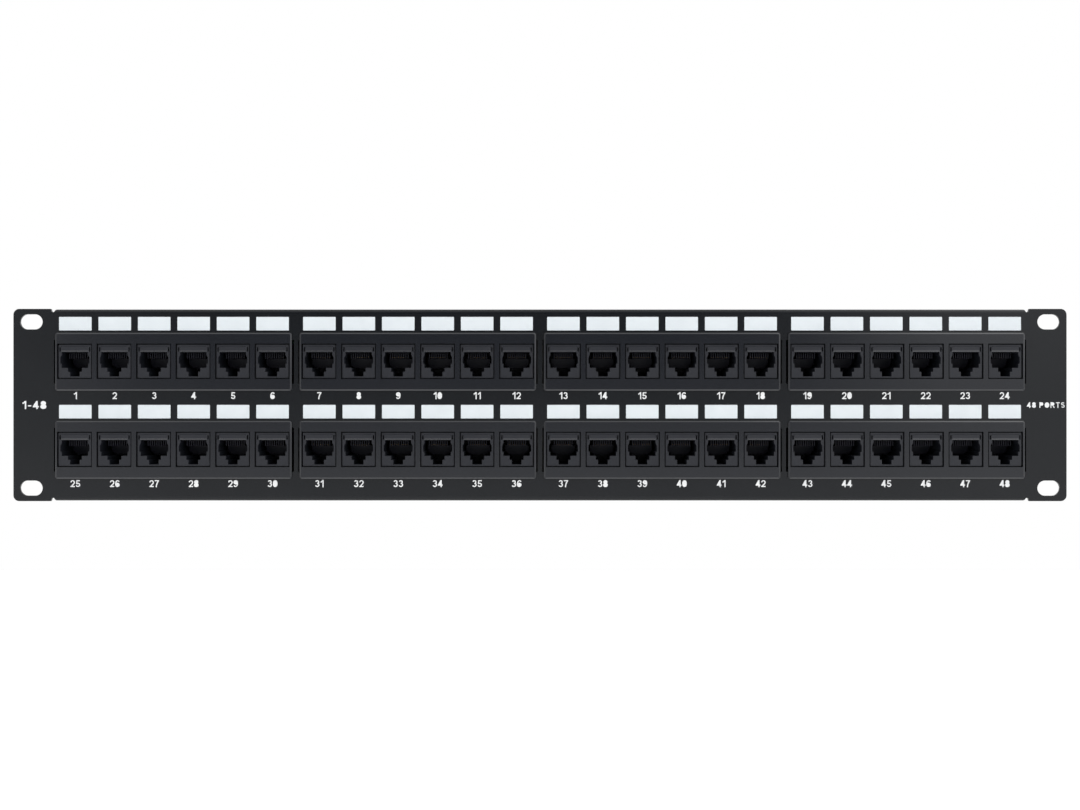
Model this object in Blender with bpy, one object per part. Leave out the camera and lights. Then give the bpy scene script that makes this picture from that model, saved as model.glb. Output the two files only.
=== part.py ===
"""48-port, 19-inch, 2U patch panel, built as an assembly of separate pieces.

Frame: metres. +X runs along the panel to the right as seen from the front, +Z is up, and the front
faces -Y. The origin is the centre of the mounting plane, the steel sheet's rear face, which bears on
the rack rails.
"""

import math

import bmesh
import bpy

MM = 0.001

# ---------------------------------------------------------------- driving dimensions
PANEL_WIDTH = 482.6 * MM        # 19 inch panel
PANEL_HEIGHT = 88.1 * MM        # two rack units less the standard clearance
SHEET = 1.5 * MM                # steel thickness
EAR_CORNER_RADIUS = 2.7 * MM
EAR_WIDTH = 17.1 * MM           # outer end to the bend-relief notch
NOTCH_WIDTH = 2.35 * MM
NOTCH_FLOOR = 1.45 * MM         # below the ear's edge
LIP_STEP = 0.13 * MM            # the folded lip lies this much inside the ear's edge
BEND_INNER_RADIUS = 0.5 * MM
BEND_STEPS = 4
LIP_DEPTH = 12.0 * MM           # how far the folded lips reach behind the mounting plane

SLOT_LENGTH = 10.4 * MM
SLOT_HEIGHT = 6.9 * MM
SLOT_SPACING_X = 466.2 * MM     # rack hole columns, 465.1 mm apart, fall inside the slots
SLOT_SPACING_Z = 76.2 * MM      # outer rack holes of two units

COLUMNS = 4
PORTS = 6
COLUMN_PITCH = 111.8 * MM
ROW_CENTRES = (19.8 * MM, -20.5 * MM)
PORT_PITCH = 18.07 * MM

CUTOUT_WIDTH = 109.3 * MM
CUTOUT_HEIGHT = 20.2 * MM
GAP = 0.3 * MM                  # clearance between pieces that touch

BEZEL_WIDTH = 108.2 * MM
BEZEL_HEIGHT = 26.5 * MM
BEZEL_THICKNESS = 0.8 * MM
BEZEL_CHAMFER = 0.35 * MM
RIB_WIDTH = 100.0 * MM          # locating ribs that enter the cut-out
RIB_THICKNESS = 0.9 * MM
RIB_OFFSET = 9.2 * MM           # rib centre from the module's centre line
RIB_DEPTH = 2.2 * MM            # behind the mounting plane

ARM_INNER_X = 53.15 * MM        # latch arms at both ends of the bezel
ARM_THICKNESS = 0.7 * MM
ARM_HEIGHT = 13.0 * MM
HOOK_START = 5.0 * MM
HOOK_REACH = 1.4 * MM
ARM_TIP = 8.0 * MM
ARM_TIP_LEAD = 0.15 * MM

NOSE_WIDTH = 15.0 * MM          # a socket's face
NOSE_HEIGHT = 15.25 * MM
NOSE_RISE = 0.2 * MM            # the faces sit this much above the module's centre line
NOSE_SET_BACK = 0.3 * MM        # behind the bezel's front
BANK_WIDTH = 105.5 * MM
BANK_HEIGHT = 16.6 * MM
BANK_BACK = 17.0 * MM

SOCKET_TOP = 3.4 * MM           # below the top of the socket's face
SOCKET_STEPS = (                # width and height of each step of the socket's outline, top to bottom
    (12.0 * MM, 1.9 * MM),
    (13.25 * MM, 3.4 * MM),
    (12.05 * MM, 1.9 * MM),
    (6.4 * MM, 1.8 * MM),
    (4.4 * MM, 2.15 * MM),
)
SOCKET_SLANT = 1.2 * MM         # height over which the first step widens into the second

STOP_WIDTH = 11.0 * MM          # block that a plug stops against, under a socket's eight contacts
STOP_HEIGHT = 4.3 * MM
STOP_DROP = 2.75 * MM           # below the socket's roof, room for the contacts
STOP_CHAMFER = 1.7 * MM
STOP_LENGTH = 7.6 * MM
CARRIER_WIDTH = 105.0 * MM
CARRIER_HEIGHT = 16.0 * MM
CARRIER_THICKNESS = 1.2 * MM

BOARD_WIDTH = 107.0 * MM
BOARD_HEIGHT = 35.2 * MM
BOARD_THICKNESS = 1.6 * MM

BLOCK_WIDTH = 98.0 * MM         # one row of three four-pair punch-down blocks
BLOCK_HEIGHT = 9.6 * MM
BLOCK_OFFSET = 10.5 * MM        # row centre above or below the module's centre line
BLOCK_BASE_DEPTH = 5.8 * MM
TOOTH_LENGTH = 6.7 * MM
TOOTH_WIDTH = 3.2 * MM
TOOTH_HEIGHT = 8.8 * MM
TOOTH_TIP_WIDTH = 1.2 * MM
BLOCKS_A_ROW = 3
PAIRS_A_BLOCK = 4

HOUSING_WIDTH = 111.0 * MM
HOUSING_HEIGHT = 39.0 * MM
HOUSING_SIDE_WALL = 0.9 * MM
HOUSING_TOP_WALL = 1.3 * MM
HOUSING_BACK_WALL = 1.5 * MM
HOUSING_BACK = 24.0 * MM
BLOCK_CLEARANCE = 0.5 * MM
LATCH_CLEARANCE = 0.4 * MM


# ---------------------------------------------------------------- derived positions
PANEL_FRONT = -SHEET
BEZEL_BACK = PANEL_FRONT - GAP
BEZEL_FRONT = BEZEL_BACK - BEZEL_THICKNESS
NOSE_FRONT = BEZEL_FRONT + NOSE_SET_BACK
WINDOW_WIDTH = NOSE_WIDTH + 2 * GAP
WINDOW_HEIGHT = NOSE_HEIGHT + 2 * GAP
BANK_FRONT = BEZEL_BACK + GAP
CARRIER_FRONT = BANK_BACK + GAP
BOARD_FRONT = CARRIER_FRONT + CARRIER_THICKNESS + GAP
BLOCK_FRONT = BOARD_FRONT + BOARD_THICKNESS + GAP
BLOCK_SHOULDER = BLOCK_FRONT + BLOCK_BASE_DEPTH


# ---------------------------------------------------------------- outlines, as (x, z) points
def rectangle(centre_x, centre_z, width, height):
    left, right = centre_x - width / 2, centre_x + width / 2
    low, high = centre_z - height / 2, centre_z + height / 2
    return [(left, low), (right, low), (right, high), (left, high)]


def arc(centre_x, centre_z, radius, start, end, steps):
    """Points along an arc between two angles in degrees."""
    angles = [math.radians(start + (end - start) * i / steps) for i in range(steps + 1)]
    return [(centre_x + radius * math.cos(a), centre_z + radius * math.sin(a)) for a in angles]


def obround(centre_x, centre_z, length, height):
    radius = height / 2
    reach = length / 2 - radius
    return (arc(centre_x + reach, centre_z, radius, -90, 90, 6)
            + arc(centre_x - reach, centre_z, radius, 90, 270, 6))


def socket_outline(centre_x, nose_top):
    """A socket's opening: mirrored steps that narrow down to the latch slot."""
    level = nose_top - SOCKET_TOP
    right = []
    for width, height in SOCKET_STEPS:
        right += [(width / 2, level), (width / 2, level - height)]
        level -= height
    for corner, lift in ((1, SOCKET_SLANT / 2), (2, -SOCKET_SLANT / 2)):
        x, z = right[corner]
        right[corner] = (x, z + lift)
    left = [(-x, z) for x, z in reversed(right)]
    return [(centre_x + x, z) for x, z in right + left]


def port_positions(centre_x):
    return [centre_x + (port - (PORTS - 1) / 2) * PORT_PITCH for port in range(PORTS)]


# ---------------------------------------------------------------- solids from rings of points
def ring(bm, outline, y):
    """A closed loop of vertices and edges at depth y."""
    verts = [bm.verts.new((x, y, z)) for x, z in outline]
    for first, second in zip(verts, verts[1:] + verts[:1]):
        bm.edges.new((first, second))
    return verts


def wall(bm, front, back):
    """Quads between two rings with the same number of points."""
    for i, first in enumerate(front):
        j = (i + 1) % len(front)
        bm.faces.new((first, front[j], back[j], back[i]))


def cap(bm, outer, holes=()):
    """Flat faces between an outer ring and any holes in it."""
    edges = []
    for loop in (outer, *holes):
        edges += [bm.edges.get(pair) for pair in zip(loop, loop[1:] + loop[:1])]
    bmesh.ops.triangle_fill(bm, edges=edges, use_beauty=True, normal=(0, 1, 0))


def tube(bm, outline, y_front, y_back):
    """A ring at each depth with a wall between them."""
    front, back = ring(bm, outline, y_front), ring(bm, outline, y_back)
    wall(bm, front, back)
    return front, back


def stud(bm, outline, y_base, y_tip, tip_outline=None):
    """A wall with a closed tip. Its open base ring is returned, to be a hole in the face it stands on."""
    base = ring(bm, outline, y_base)
    tip = ring(bm, tip_outline or outline, y_tip)
    wall(bm, base, tip)
    cap(bm, tip)
    return base


def finish(bm, name, material, parent=None):
    """Turns the mesh into a named object with outward normals."""
    bmesh.ops.recalc_face_normals(bm, faces=bm.faces)
    mesh = bpy.data.meshes.new(name)
    bm.to_mesh(mesh)
    bm.free()
    mesh.materials.append(material)
    piece = bpy.data.objects.new(name, mesh)
    piece.parent = parent
    bpy.context.scene.collection.objects.link(piece)
    return piece


def make_material(name, colour, roughness, metallic=0.0):
    material = bpy.data.materials.new(name)
    material.use_nodes = True
    shader = material.node_tree.nodes["Principled BSDF"]
    shader.inputs["Base Color"].default_value = (*colour, 1.0)
    shader.inputs["Roughness"].default_value = roughness
    shader.inputs["Metallic"].default_value = metallic
    return material


# ---------------------------------------------------------------- the steel face panel
def panel_outline(bend_line):
    """Clockwise outline of the flat sheet from the top left, and the two stretches that fold back."""
    half_width, half_height = PANEL_WIDTH / 2, PANEL_HEIGHT / 2
    corner_x, corner_z = half_width - EAR_CORNER_RADIUS, half_height - EAR_CORNER_RADIUS
    ear_edge = half_width - EAR_WIDTH
    lip_end = ear_edge - NOTCH_WIDTH
    notch_floor = half_height - NOTCH_FLOOR
    steep_side, floor_end = 0.3 * NOTCH_WIDTH, 0.6 * NOTCH_WIDTH
    notch = [(lip_end, bend_line), (ear_edge - floor_end, notch_floor),
             (ear_edge - steep_side, notch_floor), (ear_edge, half_height)]
    corner = arc(corner_x, corner_z, EAR_CORNER_RADIUS, 90, 0, 5)
    upper_right = notch + corner
    lower_right = [(x, -z) for x, z in reversed(upper_right)]
    right = upper_right + lower_right
    left = [(-x, z) for x, z in reversed(right)]
    return right + left


def fold_lip(bm, front_pair, back_pair, side):
    """Bends the sheet's open edge back by 90 degrees and runs it on as a lip. side is +1 up, -1 down."""
    bend_z = front_pair[0].co.z
    x_ends = [vert.co.x for vert in front_pair]
    radii = (BEND_INNER_RADIUS + SHEET, BEND_INNER_RADIUS)
    sections = []
    for step in range(1, BEND_STEPS + 1):
        turn = math.radians(90 * step / BEND_STEPS)
        depth, rise = math.cos(turn), side * math.sin(turn)
        sections.append([(BEND_INNER_RADIUS - radius * depth, bend_z + radius * rise) for radius in radii])
    sections.append([(LIP_DEPTH, z) for _, z in sections[-1]])
    previous = [*front_pair, *reversed(back_pair)]
    for (outer_y, outer_z), (inner_y, inner_z) in sections:
        section = [bm.verts.new((x, outer_y, outer_z)) for x in x_ends]
        section += [bm.verts.new((x, inner_y, inner_z)) for x in reversed(x_ends)]
        wall(bm, previous, section)
        previous = section
    bm.faces.new(previous)


def face_panel(material):
    bm = bmesh.new()
    bend_line = PANEL_HEIGHT / 2 - LIP_STEP - BEND_INNER_RADIUS - SHEET
    outline = panel_outline(bend_line)
    front, back = ring(bm, outline, PANEL_FRONT), ring(bm, outline, 0.0)
    for i, (x, z) in enumerate(outline):
        j = (i + 1) % len(outline)
        pairs = ((front[i], front[j]), (back[i], back[j]))
        if abs(z) == bend_line and outline[j] == (-x, z):
            fold_lip(bm, *pairs, side=math.copysign(1, z))
        else:
            bm.faces.new((front[i], front[j], back[j], back[i]))
    holes = [obround(sx * SLOT_SPACING_X / 2, sz * SLOT_SPACING_Z / 2, SLOT_LENGTH, SLOT_HEIGHT)
             for sx in (-1, 1) for sz in (-1, 1)]
    holes += [rectangle(x, z, CUTOUT_WIDTH, CUTOUT_HEIGHT) for x, z in module_centres()]
    tubes = [tube(bm, hole, PANEL_FRONT, 0.0) for hole in holes]
    cap(bm, front, [pair[0] for pair in tubes])
    cap(bm, back, [pair[1] for pair in tubes])
    return finish(bm, "face_panel", material)


def module_centres():
    """Top row from the left, then bottom row, in port-number order."""
    columns = [(column - (COLUMNS - 1) / 2) * COLUMN_PITCH for column in range(COLUMNS)]
    return [(x, z) for z in ROW_CENTRES for x in columns]


# ---------------------------------------------------------------- one six-port module, about its own centre
def latch_arm(bm, side):
    """Snap arm at one end of the bezel. Returns its base ring in the bezel's back face."""
    inner, outer = ARM_INNER_X, ARM_INNER_X + ARM_THICKNESS
    profile = [(inner, BEZEL_BACK), (outer, BEZEL_BACK), (outer, HOOK_START),
               (outer + HOOK_REACH, HOOK_START), (outer + ARM_TIP_LEAD, ARM_TIP), (inner, ARM_TIP)]
    low, high = [[bm.verts.new((side * x, y, z)) for x, y in profile]
                 for z in (-ARM_HEIGHT / 2, ARM_HEIGHT / 2)]
    base = [low[0], low[1], high[1], high[0]]
    for first, second in zip(base, base[1:] + base[:1]):
        bm.edges.new((first, second))
    for i in range(1, len(profile)):
        j = (i + 1) % len(profile)
        bm.faces.new((low[i], low[j], high[j], high[i]))
    bm.faces.new(low)
    bm.faces.new(high)
    return base


def front_bezel(name, material, parent):
    bm = bmesh.new()
    shoulder = BEZEL_FRONT + BEZEL_CHAMFER
    face = ring(bm, rectangle(0, 0, BEZEL_WIDTH - 2 * BEZEL_CHAMFER, BEZEL_HEIGHT - 2 * BEZEL_CHAMFER),
                BEZEL_FRONT)
    edge_front, edge_back = tube(bm, rectangle(0, 0, BEZEL_WIDTH, BEZEL_HEIGHT), shoulder, BEZEL_BACK)
    wall(bm, face, edge_front)
    windows = [tube(bm, rectangle(x, NOSE_RISE, WINDOW_WIDTH, WINDOW_HEIGHT), BEZEL_FRONT, BEZEL_BACK)
               for x in port_positions(0)]
    ribs = [stud(bm, rectangle(0, side * RIB_OFFSET, RIB_WIDTH, RIB_THICKNESS), BEZEL_BACK, RIB_DEPTH)
            for side in (-1, 1)]
    arms = [latch_arm(bm, side) for side in (-1, 1)]
    cap(bm, face, [pair[0] for pair in windows])
    cap(bm, edge_back, [pair[1] for pair in windows] + ribs + arms)
    return finish(bm, name, material, parent)


def jack_bank(name, material, parent):
    """Six sockets in one moulding, open at the back for the contact carrier."""
    bm = bmesh.new()
    nose_top = NOSE_RISE + NOSE_HEIGHT / 2
    body_front, body_back = tube(bm, rectangle(0, 0, BANK_WIDTH, BANK_HEIGHT), BANK_FRONT, BANK_BACK)
    bases, socket_backs = [], []
    for x in port_positions(0):
        nose_face, nose_base = tube(bm, rectangle(x, NOSE_RISE, NOSE_WIDTH, NOSE_HEIGHT),
                                    NOSE_FRONT, BANK_FRONT)
        socket_face, socket_back = tube(bm, socket_outline(x, nose_top), NOSE_FRONT, BANK_BACK)
        cap(bm, nose_face, [socket_face])
        bases.append(nose_base)
        socket_backs.append(socket_back)
    cap(bm, body_front, bases)
    cap(bm, body_back, socket_backs)
    return finish(bm, name, material, parent)


def stop_outline(centre_x):
    """A block with its lower corners cut off, where the socket narrows."""
    top = NOSE_RISE + NOSE_HEIGHT / 2 - SOCKET_TOP - STOP_DROP
    low, reach = top - STOP_HEIGHT, STOP_WIDTH / 2
    right = [(reach - STOP_CHAMFER, low), (reach, low + STOP_CHAMFER), (reach, top)]
    left = [(-x, z) for x, z in reversed(right)]
    return [(centre_x + x, z) for x, z in right + left]


def contact_carrier(name, material, parent):
    """Closes the sockets' backs with six blocks that hold the spring contacts and stop the plugs."""
    bm = bmesh.new()
    stops = [stud(bm, stop_outline(x), CARRIER_FRONT, CARRIER_FRONT - STOP_LENGTH)
             for x in port_positions(0)]
    front, back = tube(bm, rectangle(0, 0, CARRIER_WIDTH, CARRIER_HEIGHT),
                       CARRIER_FRONT, CARRIER_FRONT + CARRIER_THICKNESS)
    cap(bm, front, stops)
    cap(bm, back)
    return finish(bm, name, material, parent)


def circuit_board(name, material, parent):
    bm = bmesh.new()
    front, back = tube(bm, rectangle(0, 0, BOARD_WIDTH, BOARD_HEIGHT),
                       BOARD_FRONT, BOARD_FRONT + BOARD_THICKNESS)
    cap(bm, front)
    cap(bm, back)
    return finish(bm, name, material, parent)


def punchdown_block(name, material, parent, side):
    """A row of three four-pair blocks: tapered teeth that part the wire pairs, on one base."""
    bm = bmesh.new()
    centre_z = side * BLOCK_OFFSET
    front, shoulder = tube(bm, rectangle(0, centre_z, BLOCK_WIDTH, BLOCK_HEIGHT),
                           BLOCK_FRONT, BLOCK_SHOULDER)
    pairs = BLOCKS_A_ROW * PAIRS_A_BLOCK
    pitch = (BLOCK_WIDTH - TOOTH_WIDTH - GAP) / pairs
    teeth = []
    for tooth in range(pairs + 1):
        x = (tooth - pairs / 2) * pitch
        teeth.append(stud(bm, rectangle(x, centre_z, TOOTH_WIDTH, TOOTH_HEIGHT),
                          BLOCK_SHOULDER, BLOCK_SHOULDER + TOOTH_LENGTH,
                          rectangle(x, centre_z, TOOTH_TIP_WIDTH, TOOTH_HEIGHT)))
    cap(bm, front)
    cap(bm, shoulder, teeth)
    return finish(bm, name, material, parent)


def rear_housing(name, material, parent):
    """Shell behind the steel: open to the front, windows for the punch-down rows and the latch hooks."""
    bm = bmesh.new()
    inner_width = HOUSING_WIDTH - 2 * HOUSING_SIDE_WALL
    inner_height = HOUSING_HEIGHT - 2 * HOUSING_TOP_WALL
    back_inside = HOUSING_BACK - HOUSING_BACK_WALL
    outer_front, outer_back = tube(bm, rectangle(0, 0, HOUSING_WIDTH, HOUSING_HEIGHT), GAP, HOUSING_BACK)
    inner_front, inner_back = tube(bm, rectangle(0, 0, inner_width, inner_height), GAP, back_inside)
    windows = [tube(bm, rectangle(0, side * BLOCK_OFFSET, BLOCK_WIDTH + 2 * BLOCK_CLEARANCE,
                                  BLOCK_HEIGHT + 2 * BLOCK_CLEARANCE), back_inside, HOUSING_BACK)
               for side in (-1, 1)]
    cap(bm, outer_front, [inner_front])
    cap(bm, inner_back, [pair[0] for pair in windows])
    cap(bm, outer_back, [pair[1] for pair in windows])
    housing = finish(bm, name, material, parent)
    cut = housing.modifiers.new("latch_windows", "BOOLEAN")
    cut.operation = "DIFFERENCE"
    cut.object = latch_window_cutter(name, material, parent)
    return housing


def latch_window_cutter(name, material, parent):
    """One bar right across the housing where both latch hooks catch."""
    bm = bmesh.new()
    outline = rectangle(0, 0, HOUSING_WIDTH + 2 * LATCH_CLEARANCE, ARM_HEIGHT + 2 * LATCH_CLEARANCE)
    front, back = tube(bm, outline, HOOK_START - LATCH_CLEARANCE, ARM_TIP + LATCH_CLEARANCE)
    cap(bm, front)
    cap(bm, back)
    cutter = finish(bm, f"{name}_latch_cutter", material, parent)
    cutter.hide_render = True
    cutter.display_type = "WIRE"
    return cutter


# ---------------------------------------------------------------- the assembly
def build():
    for leftover in list(bpy.data.objects):
        bpy.data.objects.remove(leftover)
    steel = make_material("powder_coated_steel", (0.026, 0.027, 0.029), 0.45)
    bezel_plastic = make_material("bezel_plastic", (0.042, 0.042, 0.045), 0.5)
    jack_plastic = make_material("jack_plastic", (0.05, 0.05, 0.053), 0.45)
    carrier_plastic = make_material("carrier_plastic", (0.02, 0.02, 0.022), 0.5)
    board_laminate = make_material("board_laminate", (0.02, 0.09, 0.04), 0.4)
    block_plastic = make_material("block_plastic", (0.045, 0.045, 0.048), 0.5)
    housing_plastic = make_material("housing_plastic", (0.035, 0.035, 0.037), 0.55)

    face_panel(steel)
    for number, (x, z) in enumerate(module_centres(), start=1):
        module = bpy.data.objects.new(f"module_{number}", None)
        module.location = (x, 0, z)
        bpy.context.scene.collection.objects.link(module)
        front_bezel(f"front_bezel_{number}", bezel_plastic, module)
        jack_bank(f"jack_bank_{number}", jack_plastic, module)
        contact_carrier(f"contact_carrier_{number}", carrier_plastic, module)
        circuit_board(f"circuit_board_{number}", board_laminate, module)
        punchdown_block(f"punchdown_upper_{number}", block_plastic, module, 1)
        punchdown_block(f"punchdown_lower_{number}", block_plastic, module, -1)
        rear_housing(f"rear_housing_{number}", housing_plastic, module)


build()
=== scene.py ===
"""Looks of a 48-port, 19-inch, 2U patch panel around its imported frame.

Metres, +Z up, the front faces -Y, and the origin is the centre of the steel sheet's rear face.
Each module's pieces are built about the module's own centre and share their meshes.
"""
import math
from collections import Counter

import bmesh
import bpy
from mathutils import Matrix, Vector
from mathutils.geometry import delaunay_2d_cdt


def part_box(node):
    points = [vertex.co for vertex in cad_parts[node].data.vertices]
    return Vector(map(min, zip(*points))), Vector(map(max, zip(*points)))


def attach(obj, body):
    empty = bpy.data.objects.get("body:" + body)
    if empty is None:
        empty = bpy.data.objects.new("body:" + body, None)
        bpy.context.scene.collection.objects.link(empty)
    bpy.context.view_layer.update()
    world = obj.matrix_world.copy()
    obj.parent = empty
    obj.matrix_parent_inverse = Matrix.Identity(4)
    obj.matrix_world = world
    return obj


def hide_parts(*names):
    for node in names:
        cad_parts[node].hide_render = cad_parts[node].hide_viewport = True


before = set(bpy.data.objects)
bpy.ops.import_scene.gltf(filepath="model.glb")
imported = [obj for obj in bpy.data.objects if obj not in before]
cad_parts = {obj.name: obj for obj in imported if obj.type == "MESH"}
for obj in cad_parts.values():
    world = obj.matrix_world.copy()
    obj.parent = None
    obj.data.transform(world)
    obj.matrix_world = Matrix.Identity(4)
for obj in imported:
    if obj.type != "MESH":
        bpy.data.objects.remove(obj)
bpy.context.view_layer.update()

MM = 0.001
MODULES = range(1, 9)            # four across in the top row, then four in the bottom row
PORTS = 6
PORT_PITCH = 18.07 * MM
TOP_ROW, BOTTOM_ROW = (1, 2, 3, 4), (5, 6, 7, 8)


def centre_of(node):
    low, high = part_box(node)
    return Vector([(a + b) / 2 for a, b in zip(low, high)])


def size_of(node):
    low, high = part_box(node)
    return Vector([b - a for a, b in zip(low, high)])


# ---------------------------------------------------------------- sizes read from the frame
PANEL_LOW, PANEL_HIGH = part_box("face_panel")
PANEL_WIDTH = PANEL_HIGH[0] - PANEL_LOW[0]
PANEL_HEIGHT = PANEL_HIGH[2] - PANEL_LOW[2]
PANEL_FRONT = PANEL_LOW[1]
LIP_BACK = PANEL_HIGH[1]
SHEET = -PANEL_FRONT
BEZEL_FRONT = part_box("front_bezel_1")[0][1]
BEZEL_HEIGHT = size_of("front_bezel_1").z
NOSE_FRONT, BANK_BACK = (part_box("jack_bank_1")[i][1] for i in (0, 1))
BANK_SIZE = size_of("jack_bank_1")
STOP_FRONT, CARRIER_BACK = (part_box("contact_carrier_1")[i][1] for i in (0, 1))
CARRIER_SIZE = size_of("contact_carrier_1")
BLOCK_FRONT, BLOCK_TIP = (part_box("punchdown_upper_1")[i][1] for i in (0, 1))
BLOCK_SIZE = size_of("punchdown_upper_1")
HOUSING_FRONT, HOUSING_BACK = (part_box("rear_housing_1")[i][1] for i in (0, 1))
HOUSING_SIZE = size_of("rear_housing_1")
CENTRES = {n: Vector((centre_of(f"front_bezel_{n}").x, 0, centre_of(f"front_bezel_{n}").z))
           for n in MODULES}
BLOCK_OFFSET = centre_of("punchdown_upper_1").z - CENTRES[1].z

# ---------------------------------------------------------------- sizes of the fine shapes
EAR_CORNER_RADIUS = 2.7 * MM
EAR_WIDTH = 17.1 * MM
NOTCH_WIDTH = 2.35 * MM
NOTCH_BOTTOM = 1.25 * MM         # the fold starts this far in from the ear's edge
NOTCH_FLOOR, NOTCH_LEAN = 1.45 * MM, 0.35 * MM
LIP_STEP = 0.13 * MM
BEND_INNER_RADIUS = 0.5 * MM
SLOT_LENGTH, SLOT_HEIGHT = 10.4 * MM, 6.9 * MM
SLOT_SPACING_X, SLOT_SPACING_Z = 466.2 * MM, 76.2 * MM
CUTOUT_WIDTH, CUTOUT_HEIGHT, CUTOUT_CORNER = 109.9 * MM, 20.2 * MM, 0.4 * MM
STEEL_EDGE = 0.1 * MM

GAP = 0.3 * MM                   # between pieces that touch
BEZEL_WIDTH = 108.2 * MM
BEZEL_BACK = PANEL_FRONT - GAP
BEZEL_CORNER = 1.0 * MM
BEZEL_CHAMFER = 0.42 * MM        # depth of the chamfer
SIDE_STRETCH, END_STRETCH = 1.45, 1.75          # the chamfer's width for its depth
CHAMFER = ((0.0, 1.0), (0.08, 0.88), (0.88, 0.08), (1.0, 0.0))     # depth and inset of an eased chamfer
STRIP_SLOPE, STRIP_TURN = 0.4, 0.2              # least y and z, most x in a long strip's normal
WINDOW_ROUND = 0.04 * MM
RIB_WIDTH, RIB_THICKNESS, RIB_OFFSET, RIB_BACK = 100.0 * MM, 0.9 * MM, 9.2 * MM, 2.2 * MM
ARM_INNER_X, ARM_THICKNESS, ARM_HEIGHT = 53.3 * MM, 0.55 * MM, 13.0 * MM
HOOK_START, HOOK_REACH, ARM_TIP, ARM_TIP_LEAD = 5.0 * MM, 1.4 * MM, 8.0 * MM, 0.15 * MM

BANK_FRONT = BEZEL_BACK + GAP
NOSE_WIDTH, NOSE_HEIGHT, NOSE_RISE = 15.0 * MM, 15.25 * MM, 0.2 * MM
NOSE_TOP = NOSE_RISE + NOSE_HEIGHT / 2
NOSE_CORNER, NOSE_ROUND, NOSE_RIM = 0.4 * MM, 0.15 * MM, 0.18 * MM
NOSE_SLIT = 0.42 * MM
WINDOW_WIDTH, WINDOW_HEIGHT = NOSE_WIDTH + 2 * NOSE_SLIT, NOSE_HEIGHT + 2 * NOSE_SLIT
SOCKET_ROUND, SOCKET_LAND = 0.08 * MM, 0.3 * MM
SOCKET_DROP = 3.4 * MM
SOCKET_TOP = NOSE_TOP - SOCKET_DROP
SOCKET_STEPS = ((12.0, 1.9), (13.25, 3.4), (12.05, 1.9), (6.4, 1.8), (4.4, 2.15))  # width, height in mm
SOCKET_SLANT = 1.2 * MM          # height over which the first step widens into the second
HOOD_WIDTH, HOOD_DROP, HOOD_RAISE = 12.6 * MM, 0.75 * MM, 0.2 * MM
HOOD_SLOPE, HOOD_END = 0.62 * MM, 0.15 * MM     # the hood's lower edge slopes to just above the socket
KEY_SLOT_WIDTH, KEY_SLOT_HEIGHT, KEY_SLOT_X, KEY_SLOT_DROP = 0.57 * MM, 2.0 * MM, 6.75 * MM, 2.15 * MM
KEY_SLOT_DEPTH = 3.5 * MM

STOP_WIDTH, STOP_HEIGHT, STOP_DROP, STOP_CHAMFER = 11.0 * MM, 4.3 * MM, 2.75 * MM, 1.7 * MM
STOP_LEAN = 0.26                 # slope of a stop's face, backwards to its foot
CARRIER_PLATE = 1.2 * MM
COMB_FRONT, COMB_DROP, COMB_HEIGHT, COMB_THICKNESS = 2.2 * MM, 0.3 * MM, 2.5 * MM, 0.34 * MM
COMB_OVERLAP = 2.0 * MM          # how far a comb runs into the stop behind it
CONTACTS = 8
CONTACT_PITCH = 1.02 * MM
CONTACT_RADIUS, CONTACT_SIDES = 0.16 * MM, 6
CONTACT_ROOF, CONTACT_DROP = 0.45 * MM, 1.95 * MM      # from the roof to the wire and to its bend
CONTACT_BEND_Y, CONTACT_BEND_RADIUS = 4.2 * MM, 0.25 * MM
CONTACT_LEVEL, CONTACT_END = 3.0 * MM, 0.5 * MM        # level stretch on the stop, gap to the bank's back

BLOCKS_A_ROW, WIRES_A_BLOCK = 3, 8
BLOCK_BASE = 5.8 * MM
BLOCK_SHOULDER = BLOCK_FRONT + BLOCK_BASE
BLOCK_GAP, BLOCK_END, BLOCK_MARGIN, BLOCK_ROUND = 1.6 * MM, 2.6 * MM, 1.0 * MM, 0.3 * MM
TALL_TOOTH, SHORT_TOOTH = BLOCK_TIP - BLOCK_SHOULDER, 5.2 * MM
TALL_WIDTHS, SHORT_WIDTHS = (2.3 * MM, 0.7 * MM), (1.9 * MM, 0.9 * MM)      # of a tooth's base and tip
END_TOOTH_WIDTH = 1.3 * MM
FLANK_END, LEAD_END = 0.55, 0.94                # shares of a tooth's reach
LEAD_CUT, TIP_CUT = 0.4 * MM, 0.9 * MM          # shortening of a fin there and at the tip
CLIP_SLOT = 1.3 * MM
BLADE_WIDTH, BLADE_GAP, BLADE_THICKNESS = 1.05 * MM, 0.35 * MM, 0.4 * MM
BLADE_STATIONS = ((0.0, BLADE_WIDTH, 0.05 * MM), (0.0, BLADE_WIDTH, 3.2 * MM),
                  (0.25 * MM, 0.5 * BLADE_WIDTH, 4.4 * MM))         # lean, width and reach

HOUSING_SIDE_WALL, HOUSING_TOP_WALL, HOUSING_BACK_WALL = 0.9 * MM, 1.3 * MM, 1.5 * MM
HOUSING_CORNER, HOUSING_ROUND = 0.8 * MM, 0.5 * MM
HOUSING_WINDOW_MARGIN, HOUSING_WINDOW_ROUND = 1.0 * MM, 0.25 * MM

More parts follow.
